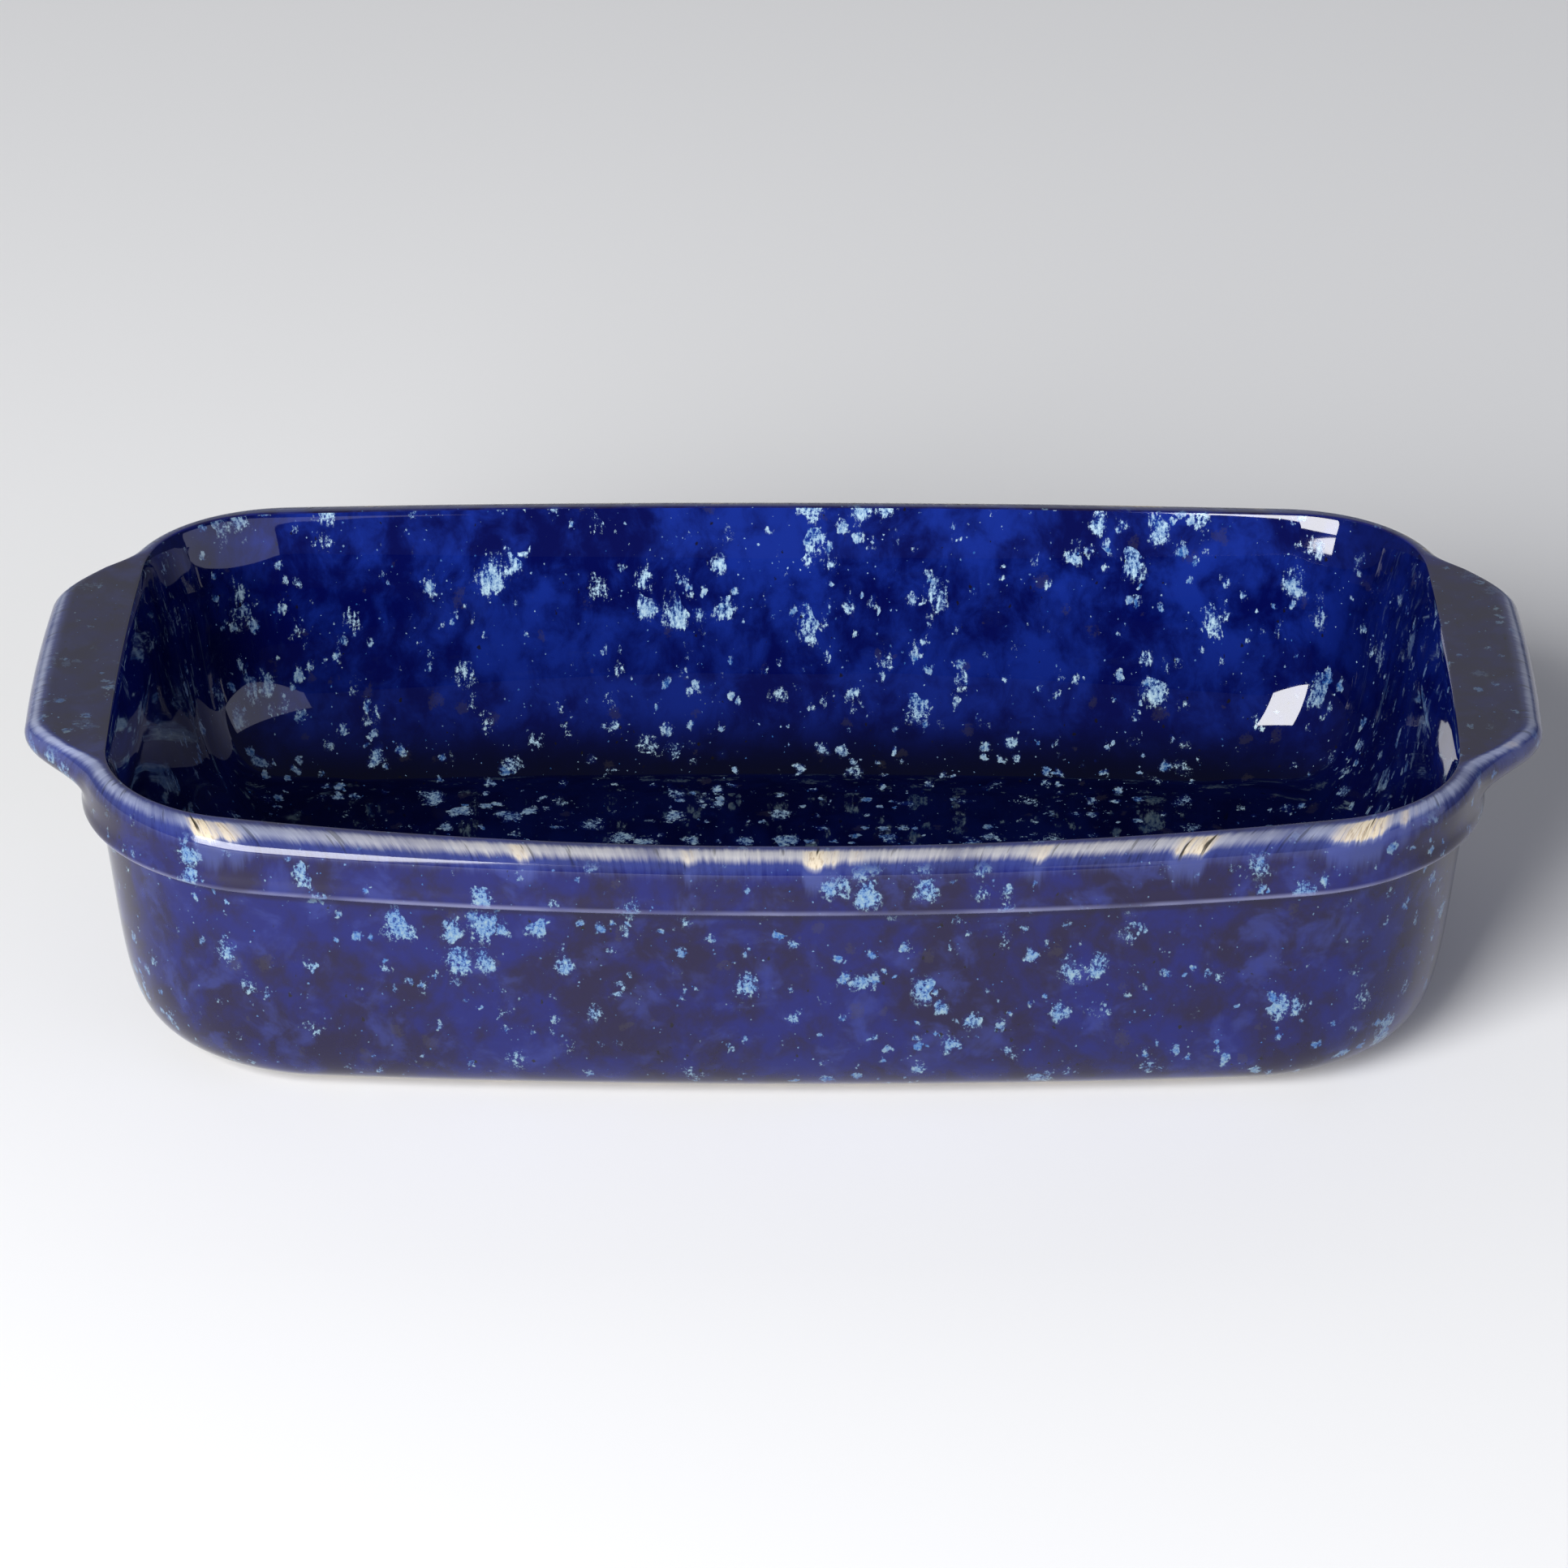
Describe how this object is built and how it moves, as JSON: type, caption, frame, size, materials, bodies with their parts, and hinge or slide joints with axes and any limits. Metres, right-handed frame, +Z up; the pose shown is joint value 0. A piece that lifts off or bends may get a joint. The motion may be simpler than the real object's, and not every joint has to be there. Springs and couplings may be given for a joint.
{
  "type": "loaf pan",
  "caption": "Rectangular glazed stoneware loaf baker with bowed sides, a stepped collar, lug handles at both ends and a low bare foot.",
  "frame": {"origin": "on the table plane, under the middle of the pan", "axes": "+X towards the right handle along the pan's length, +Y across the pan away from the viewer, +Z up out of the open top"},
  "size_m": [0.33, 0.1808, 0.07],
  "materials": {
    "stoneware": "fired stoneware body, hidden under the glaze",
    "bare_foot": "unglazed sanded stoneware, matt, slightly gritty",
    "cobalt_glaze": "high gloss deep cobalt glaze with pale blue crystal flecks",
    "violet_glaze": "glossy violet blue mottled glaze, breaking cream on the rim, with pale blue crystal flecks",
    "base_glaze": "thin satin violet blue glaze under the base"
  },
  "bodies": {
    "root": {"basin": "stoneware", "handle_left": "stoneware", "handle_right": "stoneware", "foot_ring": "bare_foot", "inner_glaze": "cobalt_glaze", "outer_glaze": "violet_glaze", "base_glaze": "base_glaze"}
  },
  "joints": []
}
